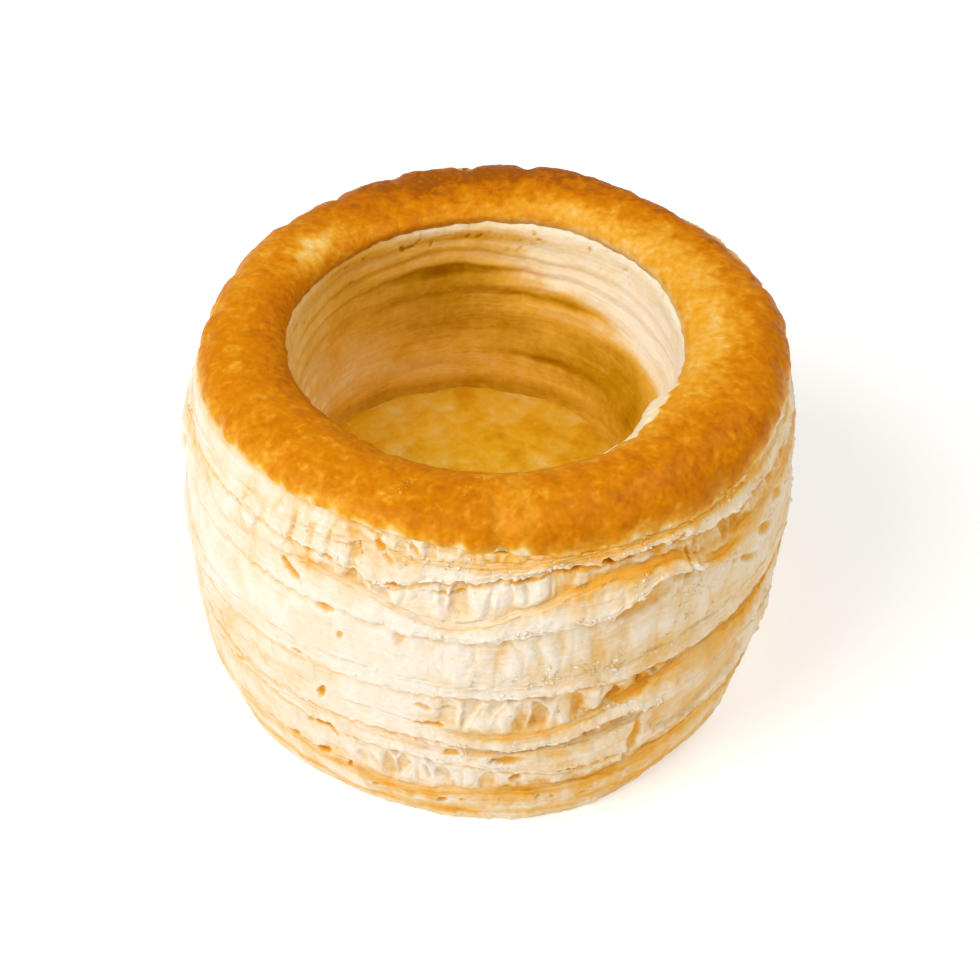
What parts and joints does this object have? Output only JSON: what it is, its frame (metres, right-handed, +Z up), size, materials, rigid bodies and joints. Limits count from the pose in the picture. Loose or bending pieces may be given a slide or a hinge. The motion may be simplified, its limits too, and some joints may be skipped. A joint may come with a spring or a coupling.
{
  "type": "vol-au-vent",
  "caption": "Empty round case of puff pastry with flaky layered sides, a browned glazed rim and a deep well for a savoury filling.",
  "frame": {"origin": "centre of the base, on the surface the case stands on", "axes": "+Z up out of the well's mouth, -Y towards the front"},
  "size_m": [0.0818, 0.0814, 0.0534],
  "materials": {
    "pastry": "matt cream puff pastry with golden leaf edges, pale translucent webs and a satin golden-brown egg-washed crown"
  },
  "bodies": {
    "root": {"pastry_case": "pastry"}
  },
  "joints": []
}
